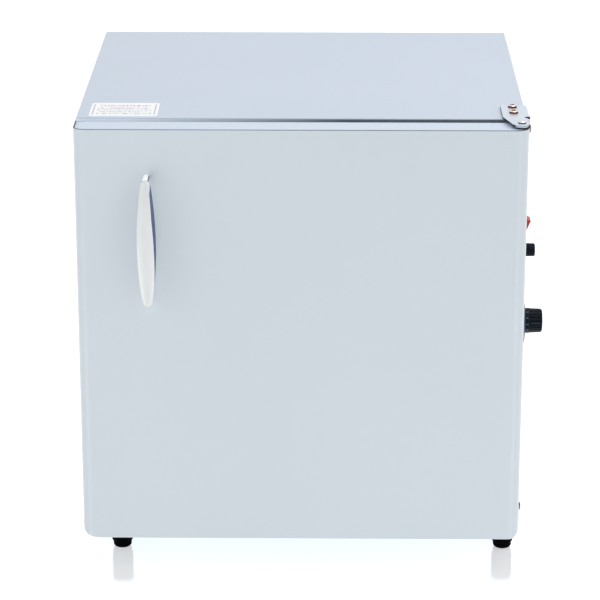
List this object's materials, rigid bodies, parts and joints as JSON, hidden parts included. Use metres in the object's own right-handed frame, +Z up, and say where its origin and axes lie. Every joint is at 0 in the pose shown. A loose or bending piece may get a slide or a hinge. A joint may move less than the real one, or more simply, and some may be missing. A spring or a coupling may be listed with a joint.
{
  "type": "warming cabinet",
  "caption": "Small insulated warming cabinet with one side-hinged door, a bar handle, wire shelves over a covered heating element, and dial, fuse and switch controls on its side.",
  "frame": {"origin": "centre of the whole object's footprint, on the plane its feet stand on", "axes": "+X to the right seen from the front, +Y from the door to the back, +Z up"},
  "size_m": [0.4744, 0.4508, 0.4775],
  "materials": {
    "case_steel": "satin cold-grey lacquered sheet",
    "door_steel": "satin cold-grey lacquered sheet",
    "liner_steel": "plain mill-finish sheet",
    "bracket_steel": "satin thick plate",
    "bright_steel": "bright plated",
    "gold_zinc": "yellow passivated zinc",
    "cap_plastic": "moulded, pale grey",
    "collar_plastic": "moulded, off-white",
    "insulation": "mineral wool slab",
    "seal_rubber": "grey magnetic seal",
    "foot_rubber": "matt black",
    "black_plastic": "moulded, fine grain",
    "knob_plastic": "moulded, half gloss",
    "red_plastic": "smooth, see-through look",
    "handle_metal": "satin",
    "bush_nylon": "turned black nylon",
    "block_plastic": "moulded, ivory",
    "copper_tube": "drawn tube",
    "glass_tube": "clear"
  },
  "bodies": {
    "cabinet": {"outer_case": "case_steel", "base_panel": "case_steel", "back_panel": "case_steel", "front_collar": "collar_plastic", "inner_chamber": "liner_steel", "insulation_left": "insulation", "insulation_right": "insulation", "insulation_top": "insulation", "insulation_bottom": "insulation", "insulation_back": "insulation", "heater_element": "bright_steel", "heater_support": "liner_steel", "heater_cover": "liner_steel", "shelf_rail_left": "liner_steel", "shelf_rail_right": "liner_steel", "thermostat_body": "black_plastic", "dial_plate": "bright_steel", "thermostat_capillary": "copper_tube", "bulb_clip": "liner_steel", "overheat_cutout": "black_plastic", "switch_housing": "black_plastic", "fuse_holder": "black_plastic", "fuse_nut": "black_plastic", "terminal_block": "block_plastic", "cord_gland": "foot_rubber", "hinge_bracket_top": "bracket_steel", "hinge_bracket_bottom": "bracket_steel", "hinge_backing_top": "bracket_steel", "hinge_backing_bottom": "bracket_steel", "hinge_pin_top": "bright_steel", "hinge_pin_bottom": "bright_steel", "bracket_screw_top_1": "gold_zinc", "bracket_screw_top_2": "gold_zinc", "bracket_screw_top_side": "gold_zinc", "bracket_screw_bottom": "gold_zinc", "bracket_screw_bottom_side": "gold_zinc", "case_screw_front": "gold_zinc", "case_screw_back": "gold_zinc", "foot_front_left": "foot_rubber", "foot_front_right": "foot_rubber", "foot_back_left": "foot_rubber", "foot_back_right": "foot_rubber"},
    "door": {"door_skin": "door_steel", "door_top_cap": "cap_plastic", "door_bottom_cap": "cap_plastic", "door_inner_panel": "collar_plastic", "door_insulation": "insulation", "door_gasket": "seal_rubber", "hinge_bush_top": "bush_nylon", "hinge_bush_bottom": "bush_nylon", "handle_blade": "handle_metal", "handle_post_top": "handle_metal", "handle_post_bottom": "handle_metal"},
    "knob": {"thermostat_knob": "knob_plastic", "thermostat_shaft": "bright_steel"},
    "rocker": {"switch_rocker": "red_plastic"},
    "fuse_cap": {"fuse_cap": "knob_plastic", "fuse_cartridge": "glass_tube"},
    "shelf_lower": {"shelf_lower": "bright_steel"},
    "shelf_upper": {"shelf_upper": "bright_steel"}
  },
  "joints": [
    {"name": "door_swing", "type": "hinge", "parent": "cabinet", "child": "door", "pos_m": [0.2056, -0.1827, 0.25], "axis": [0, 0, 1], "range_deg": [0, 110]},
    {"name": "knob_turn", "type": "hinge", "parent": "cabinet", "child": "knob", "pos_m": [0.2188, -0.1077, 0.2425], "axis": [1, 0, 0], "range_deg": [0, 270]},
    {"name": "rocker_tip", "type": "hinge", "parent": "cabinet", "child": "rocker", "pos_m": [0.2146, -0.1077, 0.343], "axis": [0, -1, 0], "range_deg": [0, 24]},
    {"name": "fuse_cap_twist", "type": "hinge", "parent": "cabinet", "child": "fuse_cap", "pos_m": [0.2161, -0.1077, 0.3195], "axis": [1, 0, 0], "range_deg": [0, 45]},
    {"name": "shelf_lower_lift", "type": "slide", "parent": "cabinet", "child": "shelf_lower", "axis": [0, 0, 1], "range_m": [0, 0.04]},
    {"name": "shelf_upper_lift", "type": "slide", "parent": "cabinet", "child": "shelf_upper", "axis": [0, 0, 1], "range_m": [0, 0.04]}
  ]
}
